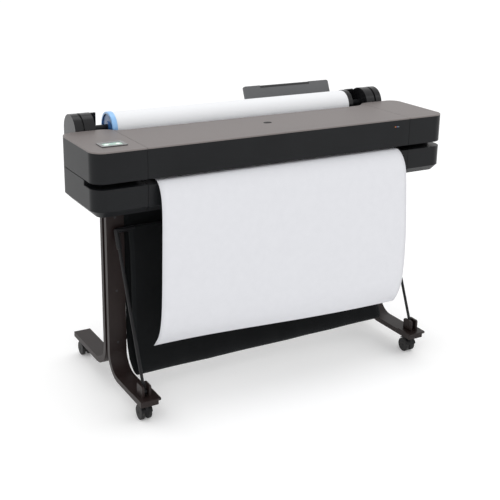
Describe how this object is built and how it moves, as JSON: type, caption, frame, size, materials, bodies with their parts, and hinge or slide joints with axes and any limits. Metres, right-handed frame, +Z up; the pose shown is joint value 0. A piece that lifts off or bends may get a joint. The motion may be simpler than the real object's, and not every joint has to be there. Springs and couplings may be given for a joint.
{
  "type": "large format plotter",
  "caption": "Roll-fed wide inkjet plotter on a wheeled stand, with a lifting lid, a roll on a spindle, a hanging print, a rear sheet tray and a cloth catch basket.",
  "frame": {"origin": "on the floor, at the centre of the footprint", "axes": "+X to the right seen from the front, +Y to the rear, +Z up"},
  "size_m": [1.317, 0.605, 0.9326],
  "materials": {
    "body_black": "fine moulded texture, satin",
    "deck_taupe": "fine moulded texture, satin metallic tone",
    "inner_black": "plain moulded",
    "inner_grey": "plain moulded",
    "sheet_steel": "zinc-plated sheet",
    "shaft_steel": "ground bar",
    "soft_rubber": "ground roller rubber",
    "belt_rubber": "toothed belt",
    "gear_plastic": "moulded acetal",
    "screen_frame": "gloss",
    "screen_glass": "lit display behind glass",
    "stop_blue": "gloss moulded",
    "stop_black": "gloss moulded",
    "paper": "matt coated paper",
    "tray_grey": "fine moulded texture",
    "stand_paint": "powder coat, very dark brown",
    "rod_black": "gloss black paint",
    "fastener_steel": "black oxide",
    "caster_black": "moulded nylon",
    "wheel_black": "soft tread",
    "cloth_black": "woven polyester",
    "board_green": "solder mask"
  },
  "bodies": {
    "root": {"lower_front_cover": "body_black", "lower_left_cover": "body_black", "lower_right_cover": "body_black", "upper_left_cover": "body_black", "upper_right_cover": "body_black", "left_deck_panel": "deck_taupe", "right_deck_panel": "deck_taupe", "lid_hinge_brackets": "sheet_steel", "rear_cover": "body_black", "base_chassis": "sheet_steel", "side_frames": "sheet_steel", "platen": "inner_black", "output_guide": "inner_black", "carriage_rail": "sheet_steel", "drive_belt": "belt_rubber", "drive_motors": "shaft_steel", "service_station": "inner_grey", "main_board": "board_green", "power_supply": "sheet_steel", "screen_bezel": "screen_frame", "screen_glass": "screen_glass", "power_inlet": "inner_black", "left_roll_holder": "stop_black", "right_roll_holder": "stop_black", "print_sheet": "paper", "tray_brackets": "tray_grey", "left_leg": "stand_paint", "right_leg": "stand_paint", "cross_brace": "rod_black", "leg_bolts": "fastener_steel", "foot_brackets": "stand_paint", "basket_fabric": "cloth_black"},
    "lid": {"lid_top_panel": "deck_taupe", "lid_front_panel": "body_black"},
    "spindle_body": {"spindle": "rod_black", "blue_stop": "stop_blue", "black_stop": "stop_black", "paper_roll": "paper"},
    "feed_roller_body": {"feed_roller": "soft_rubber", "feed_gear": "gear_plastic"},
    "feed_pinion_body": {"feed_pinion": "gear_plastic"},
    "pinch_body": {"pinch_rollers": "inner_grey"},
    "carriage_body": {"carriage": "inner_black", "ink_cartridges": "inner_grey", "cutter": "inner_grey"},
    "drive_pulley_body": {"drive_pulley": "gear_plastic"},
    "idler_pulley_body": {"idler_pulley": "gear_plastic"},
    "tray": {"sheet_tray": "tray_grey"},
    "extension": {"tray_extension": "tray_grey"},
    "basket": {"basket_frame": "rod_black", "basket_sleeve": "cloth_black"},
    "rocker": {"power_switch": "inner_black"},
    "fork_front_left": {"caster_fork_front_left": "caster_black"},
    "wheels_front_left": {"caster_wheels_front_left": "wheel_black"},
    "fork_rear_left": {"caster_fork_rear_left": "caster_black"},
    "wheels_rear_left": {"caster_wheels_rear_left": "wheel_black"},
    "fork_front_right": {"caster_fork_front_right": "caster_black"},
    "wheels_front_right": {"caster_wheels_front_right": "wheel_black"},
    "fork_rear_right": {"caster_fork_rear_right": "caster_black"},
    "wheels_rear_right": {"caster_wheels_rear_right": "wheel_black"}
  },
  "joints": [
    {"name": "lid_hinge", "type": "hinge", "parent": "root", "child": "lid", "pos_m": [0, 0.03, 0.854], "axis": [-1, 0, 0], "range_deg": [0, 70]},
    {"name": "spindle_spin", "type": "hinge", "parent": "root", "child": "spindle_body", "pos_m": [0, 0.136, 0.86], "axis": [1, 0, 0], "continuous": true},
    {"name": "feed_roller_spin", "type": "hinge", "parent": "root", "child": "feed_roller_body", "pos_m": [0, -0.022, 0.7477], "axis": [1, 0, 0], "continuous": true},
    {"name": "feed_pinion_spin", "type": "hinge", "parent": "root", "child": "feed_pinion_body", "pos_m": [-0.624, -0.022, 0.7218], "axis": [1, 0, 0], "continuous": true},
    {"name": "pinch_roller_spin", "type": "hinge", "parent": "root", "child": "pinch_body", "pos_m": [0, -0.022, 0.7688], "axis": [1, 0, 0], "continuous": true},
    {"name": "carriage_slide", "type": "slide", "parent": "root", "child": "carriage_body", "axis": [-1, 0, 0], "range_m": [0, 1.05]},
    {"name": "drive_pulley_spin", "type": "hinge", "parent": "root", "child": "drive_pulley_body", "pos_m": [0.612, 0.005, 0.845], "axis": [0, 1, 0], "continuous": true},
    {"name": "idler_pulley_spin", "type": "hinge", "parent": "root", "child": "idler_pulley_body", "pos_m": [-0.612, 0.005, 0.845], "axis": [0, 1, 0], "continuous": true},
    {"name": "tray_tilt", "type": "hinge", "parent": "root", "child": "tray", "pos_m": [0.285, 0.21, 0.82697], "axis": [1, 0, 0], "range_deg": [0, 40]},
    {"name": "tray_extension_slide", "type": "slide", "parent": "tray", "child": "extension", "axis": [0, 0.3907, 0.9205], "range_m": [0, 0.07]},
    {"name": "basket_swing", "type": "hinge", "parent": "root", "child": "basket", "pos_m": [0, -0.258, 0.1], "axis": [1, 0, 0], "range_deg": [0, 18]},
    {"name": "power_rocker", "type": "hinge", "parent": "root", "child": "rocker", "pos_m": [-0.498, 0.219, 0.75], "axis": [1, 0, 0], "range_deg": [-8, 8]},
    {"name": "swivel_front_left", "type": "hinge", "parent": "root", "child": "fork_front_left", "pos_m": [-0.527, -0.262, 0.06], "axis": [0, 0, 1], "continuous": true},
    {"name": "wheel_front_left", "type": "hinge", "parent": "fork_front_left", "child": "wheels_front_left", "pos_m": [-0.527, -0.246, 0.025], "axis": [1, 0, 0], "continuous": true},
    {"name": "swivel_rear_left", "type": "hinge", "parent": "root", "child": "fork_rear_left", "pos_m": [-0.527, 0.261, 0.06], "axis": [0, 0, 1], "continuous": true},
    {"name": "wheel_rear_left", "type": "hinge", "parent": "fork_rear_left", "child": "wheels_rear_left", "pos_m": [-0.527, 0.277, 0.025], "axis": [1, 0, 0], "continuous": true},
    {"name": "swivel_front_right", "type": "hinge", "parent": "root", "child": "fork_front_right", "pos_m": [0.527, -0.262, 0.06], "axis": [0, 0, 1], "continuous": true},
    {"name": "wheel_front_right", "type": "hinge", "parent": "fork_front_right", "child": "wheels_front_right", "pos_m": [0.527, -0.246, 0.025], "axis": [1, 0, 0], "continuous": true},
    {"name": "swivel_rear_right", "type": "hinge", "parent": "root", "child": "fork_rear_right", "pos_m": [0.527, 0.261, 0.06], "axis": [0, 0, 1], "continuous": true},
    {"name": "wheel_rear_right", "type": "hinge", "parent": "fork_rear_right", "child": "wheels_rear_right", "pos_m": [0.527, 0.277, 0.025], "axis": [1, 0, 0], "continuous": true}
  ],
  "couplings": [
    {"joint": "feed_pinion_spin", "follows": "feed_roller_spin", "ratio": -1.8333},
    {"joint": "pinch_roller_spin", "follows": "feed_roller_spin", "ratio": -2.25},
    {"joint": "drive_pulley_spin", "follows": "carriage_slide", "rad_per_m": 109.29},
    {"joint": "idler_pulley_spin", "follows": "carriage_slide", "rad_per_m": 109.29}
  ]
}
